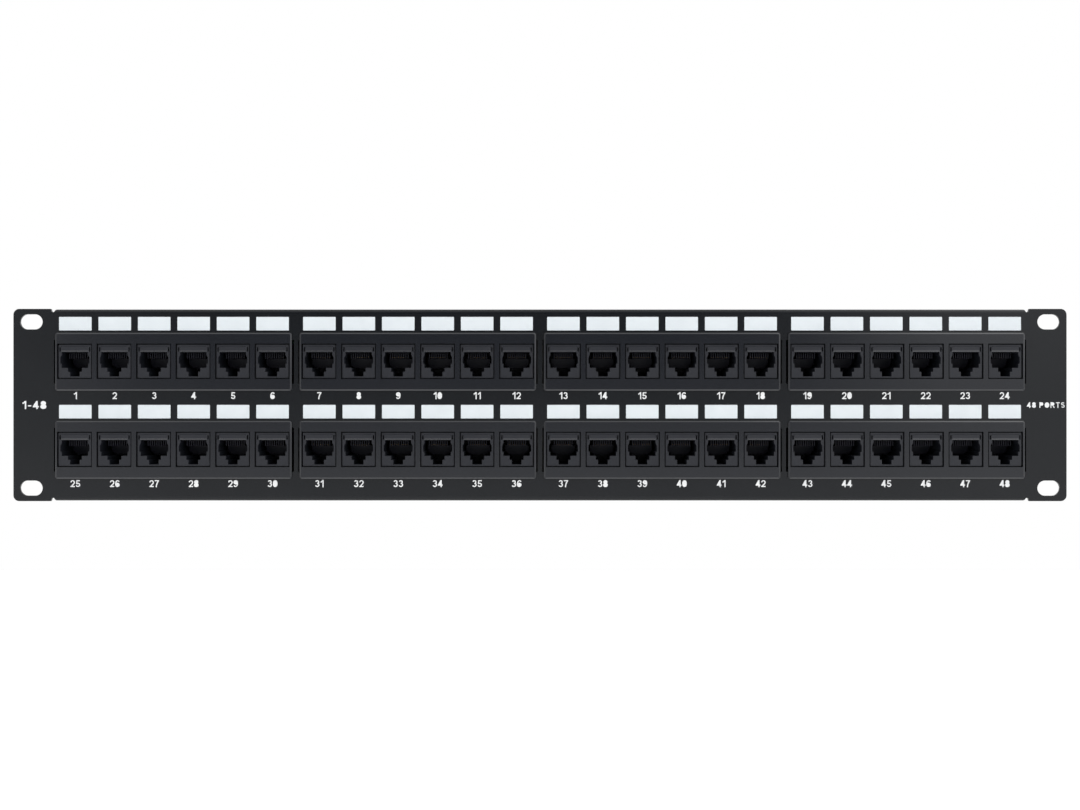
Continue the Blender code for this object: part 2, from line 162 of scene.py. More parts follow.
LABEL_WIDTH, LABEL_HEIGHT, LABEL_RISE, LABEL_CORNER = 14.9 * MM, 6.2 * MM, 17.45 * MM, 0.25 * MM
PRINT_THICKNESS = 0.03 * MM
PRINT_FRONT, PRINT_BACK = PANEL_FRONT - PRINT_THICKNESS, PANEL_FRONT - PRINT_THICKNESS / 10
NUMBER_HEIGHT, NUMBER_DROP = 3.3 * MM, 15.5 * MM
STROKE_WEIGHT, LETTER_SPACING = 0.155, 0.055    # in cap heights
SHARPEST_MITRE = 0.5
EAR_MARK_X = 231.7 * MM
EAR_MARKS = (("1-48", -1, 3.7 * MM, 0.155, 0.12, 1.15),     # text, side, height, weight, spacing, stretch
             ("48 PORTS", 1, 2.6 * MM, 0.145, 0.14, 1.08))

SAME_PLACE = 1e-9
SAME_POINT, MERGE_DISTANCE = 1e-6, 1e-5         # in cap heights
SQUARE_TO_AXIS = 0.99999                        # least largest part of such a normal


# ---------------------------------------------------------------- outlines, as (x, z) points
def rectangle(centre_x, centre_z, width, height):
    left, right = centre_x - width / 2, centre_x + width / 2
    low, high = centre_z - height / 2, centre_z + height / 2
    return [(left, low), (right, low), (right, high), (left, high)]


def arc(centre_x, centre_z, radius, start, end, steps):
    angles = [math.radians(start + (end - start) * i / steps) for i in range(steps + 1)]
    return [(centre_x + radius * math.cos(a), centre_z + radius * math.sin(a)) for a in angles]


def rounded_rectangle(centre_x, centre_z, width, height, radius, steps=3):
    reach_x, reach_z = width / 2 - radius, height / 2 - radius
    points = []
    for sx, sz, start in ((1, -1, -90), (1, 1, 0), (-1, 1, 90), (-1, -1, 180)):
        points += arc(centre_x + sx * reach_x, centre_z + sz * reach_z, radius, start, start + 90, steps)
    return points


def inset_rectangle(centre_x, centre_z, width, height, inset):
    return rectangle(centre_x, centre_z, width - 2 * inset, height - 2 * inset)


def inset_rounded(centre_x, centre_z, width, height, radius, inset):
    return rounded_rectangle(centre_x, centre_z, width - 2 * inset, height - 2 * inset, radius - inset)


def obround(centre_x, centre_z, length, height, steps=14):
    radius = height / 2
    reach = length / 2 - radius
    return (arc(centre_x + reach, centre_z, radius, -90, 90, steps)
            + arc(centre_x - reach, centre_z, radius, 90, 270, steps))


def socket_outline(centre_x, grow=0.0):
    """A socket's opening: mirrored steps down to the latch slot, made larger all round by grow."""
    level = SOCKET_TOP
    corners = []
    for width, height in SOCKET_STEPS:
        corners.append((width * MM / 2, level, level - height * MM))
        level -= height * MM
    right = []
    for i, (reach, high, low) in enumerate(corners):
        widens_above = i > 0 and corners[i - 1][0] < reach
        narrows_above = i > 0 and corners[i - 1][0] > reach
        widens_below = i + 1 < len(corners) and corners[i + 1][0] > reach
        top = high + (grow if i == 0 or widens_above else -grow if narrows_above else 0)
        bottom = low + (grow if widens_below else -grow)
        right += [(reach + grow, top), (reach + grow, bottom)]
    for corner, lift in ((1, SOCKET_SLANT / 2), (2, -SOCKET_SLANT / 2)):
        x, z = right[corner]
        right[corner] = (x, z + lift)
    left = [(-x, z) for x, z in reversed(right)]
    return [(centre_x + x, z) for x, z in right + left]


def stop_outline(centre_x):
    top = SOCKET_TOP - STOP_DROP
    low, reach = top - STOP_HEIGHT, STOP_WIDTH / 2
    right = [(reach - STOP_CHAMFER, low), (reach, low + STOP_CHAMFER), (reach, top)]
    return [(centre_x + x, z) for x, z in right + [(-x, z) for x, z in reversed(right)]]


def port_positions():
    return [(port - (PORTS - 1) / 2) * PORT_PITCH for port in range(PORTS)]


# ---------------------------------------------------------------- meshes from rings of points
def ring(bm, outline, y):
    verts = [bm.verts.new((x, y, z)) for x, z in outline]
    for first, second in zip(verts, verts[1:] + verts[:1]):
        bm.edges.new((first, second))
    return verts


def wall(bm, front, back, material=0):
    for i, first in enumerate(front):
        j = (i + 1) % len(front)
        bm.faces.new((first, front[j], back[j], back[i])).material_index = material


def cap(bm, outer, holes=(), material=0):
    edges = []
    for loop in (outer, *holes):
        edges += [bm.edges.get(pair) for pair in zip(loop, loop[1:] + loop[:1])]
    filled = bmesh.ops.triangle_fill(bm, edges=edges, use_beauty=True, normal=(0, 1, 0))
    for item in filled["geom"]:
        if isinstance(item, bmesh.types.BMFace):
            item.material_index = material


def quarter_round(steps):
    turns = [math.radians(90 * i / steps) for i in range(steps + 1)]
    return [(1 - math.cos(t), 1 - math.sin(t)) for t in turns]


def rounded_tube(bm, outline, radius, y_front, y_back, steps=3, ends=(True, False), profile=None,
                 material=0):
    """A wall with rounded ends. outline(inset) gives the loop; a hole's loop grows with inset."""
    edge = [(radius * depth, radius * inset) for depth, inset in profile or quarter_round(steps)]
    near = [(y_front + depth, inset) for depth, inset in edge] if ends[0] else [(y_front, 0.0)]
    far = [(y_back - depth, inset) for depth, inset in reversed(edge)] if ends[1] else [(y_back, 0.0)]
    loops = [ring(bm, outline(inset), y) for y, inset in near + far]
    for first, second in zip(loops, loops[1:]):
        wall(bm, first, second, material)
    return loops[0], loops[-1]


def tube(bm, outline, y_front, y_back):
    front, back = ring(bm, outline, y_front), ring(bm, outline, y_back)
    wall(bm, front, back)
    return front, back


def stud(bm, outline, y_base, y_tip, tip_outline=None):
    """A wall with a closed tip. Its open base ring is returned, to be a hole in the face it stands on."""
    base = ring(bm, outline, y_base)
    tip = ring(bm, tip_outline or outline, y_tip)
    wall(bm, base, tip)
    cap(bm, tip)
    return base


def solid_bar(bm, outline, y_front, y_back):
    front, back = tube(bm, outline, y_front, y_back)
    cap(bm, front)
    cap(bm, back)


def straighten_flats(mesh):
    """Gives each flat face straight normals up to its edge, so that only the rounding looks round."""
    normals = [corner.vector.copy() for corner in mesh.corner_normals]
    fans = {}
    for polygon in mesh.polygons:
        square = max(abs(part) for part in polygon.normal) > SQUARE_TO_AXIS
        for corner in polygon.loop_indices:
            key = (mesh.loops[corner].vertex_index, *(round(part, 4) for part in normals[corner]))
            corners, flats = fans.setdefault(key, ([], []))
            corners.append(corner)
            if square:
                flats.append(polygon.normal.copy())
    for corners, flats in fans.values():
        if flats:
            for corner in corners:
                normals[corner] = flats[0]
    mesh.normals_split_custom_set(normals)


def to_mesh(bm, name, materials, sharp=40, flats=True):
    bmesh.ops.recalc_face_normals(bm, faces=bm.faces)
    mesh = bpy.data.meshes.new(name)
    bm.to_mesh(mesh)
    bm.free()
    for material in materials:
        mesh.materials.append(material)
    mesh.shade_smooth()
    mesh.set_sharp_from_angle(angle=math.radians(sharp))
    if flats:
        straighten_flats(mesh)
    return mesh


def place(name, mesh, centre=(0, 0, 0), stands_for=()):
    piece = bpy.data.objects.new(name, mesh)
    piece.location = centre
    bpy.context.scene.collection.objects.link(piece)
    bpy.context.view_layer.update()
    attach(piece, "root")
    if stands_for:
        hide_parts(*stands_for)
    return piece


# ---------------------------------------------------------------- materials
class Graph:
    """A node tree with the few node kinds that these materials use."""

    def __init__(self, name):
        self.material = bpy.data.materials.new(name)
        self.material.use_nodes = True
        self.nodes = self.material.node_tree.nodes
        self.links = self.material.node_tree.links
        self.shader = self.nodes["Principled BSDF"]
        self.position = self.nodes.new("ShaderNodeNewGeometry").outputs["Position"]

    def link(self, source, target):
        self.links.new(source, target)

    def noise(self, scale, detail=3.0, roughness=0.5, stretch=(1, 1, 1)):
        mapping = self.nodes.new("ShaderNodeMapping")
        mapping.inputs["Scale"].default_value = stretch
        self.link(self.position, mapping.inputs["Vector"])
        node = self.nodes.new("ShaderNodeTexNoise")
        node.inputs["Scale"].default_value = scale
        node.inputs["Detail"].default_value = detail
        node.inputs["Roughness"].default_value = roughness
        self.link(mapping.outputs["Vector"], node.inputs["Vector"])
        return node.outputs["Fac"]

    def ramp(self, factor, stops):
        """Colours or greys against a factor; stops are (position, colour or grey)."""
        node = self.nodes.new("ShaderNodeValToRGB")
        elements = node.color_ramp.elements
        while len(elements) < len(stops):
            elements.new(0.5)
        for element, (place_at, colour) in zip(elements, stops):
            element.position = place_at
            element.color = (*colour, 1) if isinstance(colour, tuple) else (colour,) * 3 + (1,)
        self.link(factor, node.inputs["Fac"])
        return node.outputs["Color"]

    def mix(self, factor, first, second):
        node = self.nodes.new("ShaderNodeMix")
        node.data_type = "RGBA"
        self.link(factor, node.inputs["Factor"])
        self.link(first, node.inputs["A"])
        self.link(second, node.inputs["B"])
        return node.outputs["Result"]

    def edge_mask(self, radius):
        """White on sharp edges, black on flats: how far the rounded normal leaves the true one."""
        bevel = self.nodes.new("ShaderNodeBevel")
        bevel.inputs["Radius"].default_value = radius
        bevel.samples = 4
        normal = self.nodes.new("ShaderNodeNewGeometry").outputs["Normal"]
        dot = self.nodes.new("ShaderNodeVectorMath")
        dot.operation = "DOT_PRODUCT"
        self.link(bevel.outputs["Normal"], dot.inputs[0])
        self.link(normal, dot.inputs[1])
        return self.ramp(dot.outputs["Value"], ((0.75, 1.0), (0.98, 0.0)))

    def bump(self, height, strength, distance):
        node = self.nodes.new("ShaderNodeBump")
        node.inputs["Strength"].default_value = strength
        node.inputs["Distance"].default_value = distance
        self.link(height, node.inputs["Height"])
        self.link(node.outputs["Normal"], self.shader.inputs["Normal"])

    def finish(self, colour, roughness, metallic=0.0, specular=0.5):
        self.link(colour, self.shader.inputs["Base Color"])
        self.link(roughness, self.shader.inputs["Roughness"])
        self.shader.inputs["Metallic"].default_value = metallic
        self.shader.inputs["Specular IOR Level"].default_value = specular
        return self.material


def grained(name, dark, light, worn, roughness, grain, depth, specular=0.5, mottling=45.0):
    """Moulded or coated surface: mottled colour, paler edges, even fine grain in gloss and relief."""
    graph = Graph(name)
    tone = graph.ramp(graph.noise(mottling, 4.0), ((0.35, dark), (0.65, light)))
    edge = graph.ramp(graph.noise(900.0, 2.0), ((0.4, worn), (0.7, light)))
    colour = graph.mix(graph.edge_mask(0.12 * MM), tone, edge)
    gloss = graph.ramp(graph.noise(grain * 0.6, 2.0), ((0.3, roughness[0]), (0.7, roughness[1])))
    graph.bump(graph.noise(grain, 3.0, 0.6), 0.35, depth)
    return graph.finish(colour, gloss, specular=specular)


def metal(name, dark, light, roughness, scale):
    graph = Graph(name)
    colour = graph.ramp(graph.noise(scale, 3.0, stretch=(1, 0.15, 1)), ((0.3, dark), (0.7, light)))
    gloss = graph.ramp(graph.noise(scale * 2, 2.0), ((0.3, roughness[0]), (0.7, roughness[1])))
    graph.bump(graph.noise(scale * 3, 2.0), 0.1, 0.02 * MM)
    return graph.finish(colour, gloss, metallic=1.0)


def ink(name, dark, light, roughness):
    """Screen-printed paint: slightly uneven white with a faint weave of the screen."""
    graph = Graph(name)
    colour = graph.ramp(graph.noise(120.0, 4.0), ((0.35, dark), (0.65, light)))
    gloss = graph.ramp(graph.noise(500.0, 2.0), ((0.3, roughness[0]), (0.7, roughness[1])))
    graph.bump(graph.noise(6000.0, 2.0), 0.2, 0.01 * MM)
    return graph.finish(colour, gloss, specular=0.3)


def laminate(name):
    """Green solder mask with paler copper tracks under it."""
    graph = Graph(name)
    bricks = graph.nodes.new("ShaderNodeTexBrick")
    bricks.inputs["Scale"].default_value = 160.0
    bricks.inputs["Mortar Size"].default_value = 0.06
    swap = graph.nodes.new("ShaderNodeMapping")
    swap.inputs["Rotation"].default_value = (math.radians(90), 0, 0)
    graph.link(graph.position, swap.inputs["Vector"])
    graph.link(swap.outputs["Vector"], bricks.inputs["Vector"])
    mask = graph.ramp(graph.noise(90.0, 3.0),
                      ((0.3, (0.010, 0.060, 0.028)), (0.7, (0.016, 0.085, 0.040))))
    track = graph.ramp(graph.noise(300.0, 2.0),
                       ((0.3, (0.030, 0.150, 0.060)), (0.7, (0.045, 0.180, 0.075))))
    colour = graph.mix(bricks.outputs["Fac"], mask, track)
    gloss = graph.ramp(graph.noise(400.0, 2.0), ((0.3, 0.25), (0.7, 0.4)))
    graph.bump(bricks.outputs["Fac"], 0.3, 0.03 * MM)
    return graph.finish(colour, gloss)


BEZEL_TONES = ((0.0070, 0.0085, 0.0124), (0.0082, 0.0097, 0.0140), (0.020, 0.022, 0.027))
JACK_TONES = ((0.0170, 0.0184, 0.0238), (0.0205, 0.0219, 0.0274), (0.036, 0.038, 0.044))
MATERIALS = {
    "steel": grained("powder_coated_steel", (0.0044, 0.0056, 0.0076), (0.0054, 0.0067, 0.0088),
                     (0.016, 0.017, 0.019), (0.22, 0.26), 2600.0, 0.004 * MM, 0.3),
    "bezel": grained("bezel_plastic", *BEZEL_TONES, (0.18, 0.23), 3200.0, 0.003 * MM, 0.43),
    "bezel_edge": grained("bezel_edge_plastic", *BEZEL_TONES, (0.18, 0.23), 3200.0, 0.003 * MM, 0.82),
    "jack": grained("jack_plastic", *JACK_TONES, (0.32, 0.40), 3400.0, 0.006 * MM, 0.3),
    "hood_edge": grained("hood_edge_plastic", *JACK_TONES, (0.26, 0.32), 3400.0, 0.003 * MM, 0.9),
    # Painted shade: a darker copy of the jack plastic for the socket walls, standing in for the shade deep
    # inside each socket
    "socket_painted_shade": grained("socket_painted_shade_plastic", (0.0090, 0.0106, 0.0150), (0.0110, 0.0126, 0.0172),
                           (0.0150, 0.0160, 0.0190), (0.50, 0.60), 3000.0, 0.02 * MM, 0.2),
    # Painted shade: a near-black copy of the plastic for the slits round the noses, the window walls, the
    # bank's front and the latch arms, standing in for the shade in those gaps
    "painted_shade": grained("painted_shade_plastic", (0.0026, 0.0030, 0.0042), (0.0036, 0.0040, 0.0054),
                      (0.0050, 0.0055, 0.0070), (0.55, 0.65), 3000.0, 0.02 * MM, 0.15),
    "carrier": grained("carrier_plastic", (0.0080, 0.0086, 0.0152), (0.0098, 0.0104, 0.0176),
                       (0.014, 0.014, 0.020), (0.45, 0.55), 3000.0, 0.01 * MM, 0.25),
    "block": grained("punchdown_plastic", (0.030, 0.030, 0.032), (0.038, 0.038, 0.040),
                     (0.060, 0.060, 0.062), (0.42, 0.52), 2800.0, 0.02 * MM),
    "housing": grained("housing_plastic", (0.022, 0.022, 0.024), (0.028, 0.028, 0.030),
                       (0.050, 0.050, 0.052), (0.50, 0.62), 1900.0, 0.04 * MM),
    "board": laminate("board_laminate"),
    "label": ink("label_print", (0.70, 0.75, 0.78), (0.73, 0.78, 0.81), (0.45, 0.55)),
    "print": ink("number_print", (0.78, 0.79, 0.80), (0.85, 0.86, 0.86), (0.45, 0.55)),
    "gold": metal("contact_gold", (0.22, 0.145, 0.06), (0.32, 0.22, 0.095), (0.34, 0.46), 900.0),
    "tin": metal("clip_tin", (0.50, 0.50, 0.50), (0.66, 0.66, 0.65), (0.28, 0.42), 700.0),
}

# Places of a moulding's other materials after its own; the first on each line below is a darker copy of
# the plastic, painted shade for the gaps and for the socket walls
PAINTED_SHADE, BEZEL_EDGE = 1, 2
SOCKET_SHADE, HOOD_EDGE = 2, 3


# ---------------------------------------------------------------- the steel face panel
def panel_outline(bend_line, inset):
    """Clockwise outline of the flat sheet. inset pulls in the cut edges but not the fold line."""
    half_width, half_height = PANEL_WIDTH / 2 - inset, PANEL_HEIGHT / 2 - inset
    radius = EAR_CORNER_RADIUS - inset
    ear_edge = PANEL_WIDTH / 2 - EAR_WIDTH
    floor = PANEL_HEIGHT / 2 - NOTCH_FLOOR - inset
    foot = ear_edge - NOTCH_BOTTOM
    root = (NOTCH_BOTTOM - NOTCH_LEAN) / 2
    rounding = arc(ear_edge - NOTCH_LEAN - root + inset, floor + root, root, 270, 345, 4)
    notch = [(foot, bend_line), (foot, floor), *rounding, (ear_edge + inset, half_height)]
    corner = arc(half_width - radius, half_height - radius, radius, 90, 0, 10)
    upper_right = notch + corner
    right = upper_right + [(x, -z) for x, z in reversed(upper_right)]
    return right + [(-x, z) for x, z in reversed(right)]


def fold_lip(bm, near_end, far_end, side, steps=8):
    """Bends the sheet's open edge back by 90 degrees and runs it on as a lip.

    near_end and far_end are the open edge's ends, each as vertices from the sheet's front to its back.
    """
    bend_z = near_end[0].co.z
    x_ends = [near_end[0].co.x, far_end[0].co.x]
    narrowing = NOTCH_WIDTH - NOTCH_BOTTOM
    sections = []
    for step in range(1, steps + 1):
        turn = math.radians(90 * step / steps)
        sections.append([(BEND_INNER_RADIUS - r * math.cos(turn), bend_z + side * r * math.sin(turn))
                         for r in (BEND_INNER_RADIUS + SHEET, BEND_INNER_RADIUS)])
    end = sections[-1]
    sections.append([(LIP_BACK - STEEL_EDGE, z) for _, z in end])
    sections.append([(LIP_BACK, end[0][1] - side * STEEL_EDGE),
                     (LIP_BACK, end[1][1] + side * STEEL_EDGE)])
    loops = []
    for step, ((outer_y, outer_z), (inner_y, inner_z)) in enumerate(sections, start=1):
        cut = narrowing * min(step / steps, 1.0)
        reach = [x - math.copysign(cut, x) for x in x_ends]
        loops.append([bm.verts.new((x, outer_y, outer_z)) for x in reach]
                     + [bm.verts.new((x, inner_y, inner_z)) for x in reversed(reach)])
    for first, second in zip(loops, loops[1:]):
        wall(bm, first, second)
    front_near, front_far, back_far, back_near = loops[0]
    bm.faces.new((near_end[0], far_end[0], front_far, front_near))
    bm.faces.new((*far_end, back_far, front_far))
    bm.faces.new((far_end[-1], near_end[-1], back_near, back_far))
    bm.faces.new((*reversed(near_end), front_near, back_near))
    bm.faces.new(loops[-1])


def steel_panel():
    bm = bmesh.new()
    bend_line = PANEL_HEIGHT / 2 - LIP_STEP - BEND_INNER_RADIUS - SHEET
    stations = [(PANEL_FRONT, STEEL_EDGE), (PANEL_FRONT + STEEL_EDGE, 0.0),
                (-STEEL_EDGE, 0.0), (0.0, STEEL_EDGE)]
    loops = [ring(bm, panel_outline(bend_line, inset), y) for y, inset in stations]
    outline = panel_outline(bend_line, 0.0)
    for i, (x, z) in enumerate(outline):
        j = (i + 1) % len(outline)
        near_end, far_end = [loop[i] for loop in loops], [loop[j] for loop in loops]
        if abs(abs(z) - bend_line) < SAME_PLACE and abs(outline[j][0] + x) < SAME_PLACE:
            for pair in list(zip(near_end, far_end))[1:-1]:
                bm.edges.remove(bm.edges.get(pair))
            fold_lip(bm, near_end, far_end, math.copysign(1, z))
        else:
            for k in range(1, len(loops)):
                bm.faces.new((near_end[k - 1], far_end[k - 1], far_end[k], near_end[k]))
    holes = []
    for sx in (-1, 1):
        for sz in (-1, 1):
            holes.append(lambda inset, cx=sx * SLOT_SPACING_X / 2, cz=sz * SLOT_SPACING_Z / 2: obround(
                cx, cz, SLOT_LENGTH + 2 * inset, SLOT_HEIGHT + 2 * inset))
    for centre in CENTRES.values():
        holes.append(lambda inset, c=centre: inset_rounded(
            c.x, c.z, CUTOUT_WIDTH, CUTOUT_HEIGHT, CUTOUT_CORNER, -inset))
    tubes = [rounded_tube(bm, hole, STEEL_EDGE, PANEL_FRONT, 0.0, 2, (True, True)) for hole in holes]
    cap(bm, loops[0], [pair[0] for pair in tubes])
    cap(bm, loops[-1], [pair[1] for pair in tubes])
    return to_mesh(bm, "steel_panel", [MATERIALS["steel"]], 50)


# ---------------------------------------------------------------- one module's pieces
def latch_arm(bm, side):
    inner, outer = ARM_INNER_X, ARM_INNER_X + ARM_THICKNESS
    profile = [(inner, BEZEL_BACK), (outer, BEZEL_BACK), (outer, HOOK_START),
               (outer + HOOK_REACH, HOOK_START), (outer + ARM_TIP_LEAD, ARM_TIP), (inner, ARM_TIP)]
    low, high = [[bm.verts.new((side * x, y, z)) for x, y in profile]
                 for z in (-ARM_HEIGHT / 2, ARM_HEIGHT / 2)]
    base = [low[0], low[1], high[1], high[0]]
    for first, second in zip(base, base[1:] + base[:1]):
        bm.edges.new((first, second))
    for i in range(1, len(profile)):
        j = (i + 1) % len(profile)
        # The arm's sides take the near-black plastic: painted shade for the arm seen through the slit
        bm.faces.new((low[i], low[j], high[j], high[i])).material_index = PAINTED_SHADE
    bm.faces.new(low)
    bm.faces.new(high)
    return base


def bezel():
    bm = bmesh.new()

    def outline(inset):
        return rounded_rectangle(0, 0, BEZEL_WIDTH - 2 * END_STRETCH * inset,
                                 BEZEL_HEIGHT - 2 * SIDE_STRETCH * inset, BEZEL_CORNER - inset, 4)

    face, back = rounded_tube(bm, outline, BEZEL_CHAMFER, BEZEL_FRONT, BEZEL_BACK, profile=CHAMFER)
    for strip in bm.faces:      # the long ones above and below take the shinier material
        strip.normal_update()
        turn, *slopes = (abs(part) for part in strip.normal)
        if min(slopes) > STRIP_SLOPE and turn < STRIP_TURN:
            strip.material_index = BEZEL_EDGE
    # The window walls take the near-black plastic: painted shade in the gap round each nose
    windows = [rounded_tube(bm, lambda inset, x=x: inset_rectangle(x, NOSE_RISE, WINDOW_WIDTH,
                                                                   WINDOW_HEIGHT, -inset),
                            WINDOW_ROUND, BEZEL_FRONT, BEZEL_BACK, 2, material=PAINTED_SHADE)
               for x in port_positions()]
    ribs = [stud(bm, rectangle(0, side * RIB_OFFSET, RIB_WIDTH, RIB_THICKNESS), BEZEL_BACK, RIB_BACK)
            for side in (-1, 1)]
    arms = [latch_arm(bm, side) for side in (-1, 1)]
    cap(bm, face, [pair[0] for pair in windows])
    cap(bm, back, [pair[1] for pair in windows] + ribs + arms)
    return to_mesh(bm, "bezel", [MATERIALS[name] for name in ("bezel", "painted_shade", "bezel_edge")])


def jack_nose(bm, x):
    """One socket's face. Returns the nose's base ring and the socket's back ring."""
    face_y = NOSE_FRONT + HOOD_RAISE

    def nose_outline(inset):
        return inset_rounded(x, NOSE_RISE, NOSE_WIDTH, NOSE_HEIGHT, NOSE_CORNER, inset)

    nose_face, nose_rim = rounded_tube(bm, nose_outline, NOSE_ROUND, face_y, face_y + NOSE_RIM)
    nose_base = ring(bm, nose_outline(0.0), BANK_FRONT)
    # The nose's sides take the near-black plastic: painted shade in the slit round the nose
    wall(bm, nose_rim, nose_base, PAINTED_SHADE)
    socket_face, socket_rim = rounded_tube(bm, lambda inset: socket_outline(x, inset),
                                           SOCKET_ROUND, face_y, face_y + SOCKET_LAND, 2)
    socket_back = ring(bm, socket_outline(x), BANK_BACK)
    # The socket's walls take the darker plastic: painted shade inside the socket
    wall(bm, socket_rim, socket_back, SOCKET_SHADE)
    top, end = NOSE_TOP - HOOD_DROP, SOCKET_TOP + HOOD_END
    flat_top, flat_end = top - HOOD_RAISE, end + HOOD_SLOPE
    hood = stud(bm, rectangle(x, (top + end) / 2, HOOD_WIDTH, top - end), face_y, NOSE_FRONT,
                rectangle(x, (flat_top + flat_end) / 2, HOOD_WIDTH - 2 * HOOD_RAISE, flat_top - flat_end))
    lower_edge = bm.edges.get(hood[:2])
    lower_edge.link_faces[0].material_index = HOOD_EDGE
    slots = [stud(bm, rectangle(x + side * KEY_SLOT_X, NOSE_TOP - KEY_SLOT_DROP, KEY_SLOT_WIDTH,
                                KEY_SLOT_HEIGHT), face_y, face_y + KEY_SLOT_DEPTH) for side in (-1, 1)]
    cap(bm, nose_face, [socket_face, hood, *slots])
    return nose_base, socket_back


def jack_bank():
    bm = bmesh.new()
    body_front, body_back = tube(bm, rectangle(0, 0, BANK_SIZE.x, BANK_SIZE.z), BANK_FRONT, BANK_BACK)
    noses = [jack_nose(bm, x) for x in port_positions()]
    # The bank's front between the noses takes the near-black plastic: painted shade at the bottom of the
    # slits
    cap(bm, body_front, [base for base, _ in noses], PAINTED_SHADE)
    cap(bm, body_back, [back for _, back in noses])
    materials = [MATERIALS[name] for name in ("jack", "painted_shade", "socket_painted_shade", "hood_edge")]
    return to_mesh(bm, "jack_bank", materials)


def contact_carrier():
    bm = bmesh.new()
    plate_front = CARRIER_BACK - CARRIER_PLATE
    stops = [stud(bm, stop_outline(x), plate_front, STOP_FRONT) for x in port_positions()]
    for vert in bm.verts:
        if vert.co.y < plate_front - GAP:
            vert.co.y += STOP_LEAN * (SOCKET_TOP - STOP_DROP - vert.co.z)
    front, back = tube(bm, rectangle(0, 0, CARRIER_SIZE.x, CARRIER_SIZE.z), plate_front, CARRIER_BACK)
    cap(bm, front, stops)
    cap(bm, back)
    comb_z, comb_back = SOCKET_TOP - COMB_DROP - COMB_HEIGHT / 2, STOP_FRONT + COMB_OVERLAP
    for x in port_positions():
        for tooth in range(CONTACTS + 1):
            tooth_x = x + (tooth - CONTACTS / 2) * CONTACT_PITCH
            solid_bar(bm, rectangle(tooth_x, comb_z, COMB_THICKNESS, COMB_HEIGHT), COMB_FRONT, comb_back)
    return to_mesh(bm, "contact_carrier", [MATERIALS["carrier"]])


def wire_path():
    """A spring contact's centre line in (y, z): forward and down from the roof, then back round a bend."""
    roof, radius = SOCKET_TOP - CONTACT_ROOF, CONTACT_BEND_RADIUS
    bend_z = SOCKET_TOP - CONTACT_DROP - radius
    angles = [math.radians(degrees) for degrees in range(0, 181, 36)]
    turn = [(CONTACT_BEND_Y - radius * math.sin(a), bend_z + radius * math.cos(a)) for a in angles]
    back = BANK_BACK - CONTACT_END
    return [(back, roof), (STOP_FRONT + CONTACT_LEVEL, roof), *turn, (back, bend_z - radius)]


def spring_contacts():
    bm = bmesh.new()
    path = wire_path()
    for port_x in port_positions():
        for contact in range(CONTACTS):
            x = port_x + (contact - (CONTACTS - 1) / 2) * CONTACT_PITCH
            rings = []
            for i, (y, z) in enumerate(path):
                before, after = path[max(i - 1, 0)], path[min(i + 1, len(path) - 1)]
                along = Vector((0, after[0] - before[0], after[1] - before[1])).normalized()
                across = along.cross(Vector((1, 0, 0)))
                loop = []
                for side in range(CONTACT_SIDES):
                    turn = 2 * math.pi * side / CONTACT_SIDES
                    offset = Vector((math.cos(turn), 0, 0)) + across * math.sin(turn)
                    loop.append(bm.verts.new(Vector((x, y, z)) + offset * CONTACT_RADIUS))
                rings.append(loop)
            for first, second in zip(rings, rings[1:]):
                wall(bm, first, second)
            bm.faces.new(rings[0])
            bm.faces.new(rings[-1])
    return to_mesh(bm, "spring_contacts", [MATERIALS["gold"]], 60, flats=False)


def block_positions():
    """Each four-pair block's centre along the row, and its width."""
    width = (BLOCK_SIZE.x - (BLOCKS_A_ROW - 1) * BLOCK_GAP) / BLOCKS_A_ROW
    return [((i - (BLOCKS_A_ROW - 1) / 2) * (width + BLOCK_GAP), width) for i in range(BLOCKS_A_ROW)]


def wire_slots():
    """Every wire slot's centre along a row."""
    slots = []
    for centre, width in block_positions():
        pitch = (width - BLOCK_END) / WIRES_A_BLOCK
        slots += [centre + (i - (WIRES_A_BLOCK - 1) / 2) * pitch for i in range(WIRES_A_BLOCK)]
    return slots


def punchdown_block():
    """Three blocks on one base. Each has two fins of teeth, tall between pairs and short inside them."""
    bm = bmesh.new()
    front, shoulder = rounded_tube(
        bm, lambda inset: inset_rectangle(0, 0, BLOCK_SIZE.x, BLOCK_SIZE.z, inset),
        BLOCK_ROUND, BLOCK_FRONT, BLOCK_SHOULDER, 2, (False, True))
    fin_depth = (BLOCK_SIZE.z - BLOCK_MARGIN - CLIP_SLOT) / 2
    fin_z = (CLIP_SLOT + fin_depth) / 2
    bases = []
    for centre, width in block_positions():
        pitch = (width - BLOCK_END) / WIRES_A_BLOCK
        for tooth in range(WIRES_A_BLOCK + 1):
            x = centre + (tooth - WIRES_A_BLOCK / 2) * pitch
            tall = tooth % 2 == 0
            base, tip = TALL_WIDTHS if tall else SHORT_WIDTHS
            if tooth in (0, WIRES_A_BLOCK):
                base = END_TOOTH_WIDTH
            reach = TALL_TOOTH if tall else SHORT_TOOTH
            for side in (-1, 1):
                bases.append(tooth_stack(bm, x, side * fin_z, base, tip, fin_depth, reach))
    cap(bm, front)
    cap(bm, shoulder, bases)
    return to_mesh(bm, "punchdown_block", [MATERIALS["block"]], 30)


def tooth_stack(bm, x, z, base, tip, depth, reach):
    """A tooth with straight flanks, then a tapered lead-in."""
    stations = ((base, depth, 0.0), (base, depth, FLANK_END),
                (tip, depth - LEAD_CUT, LEAD_END), (tip / 2, depth - TIP_CUT, 1.0))
    rings = [ring(bm, rectangle(x, z, width, length), BLOCK_SHOULDER + share * reach)
             for width, length, share in stations]
    for first, second in zip(rings, rings[1:]):
        wall(bm, first, second)
    cap(bm, rings[-1])
    return rings[0]


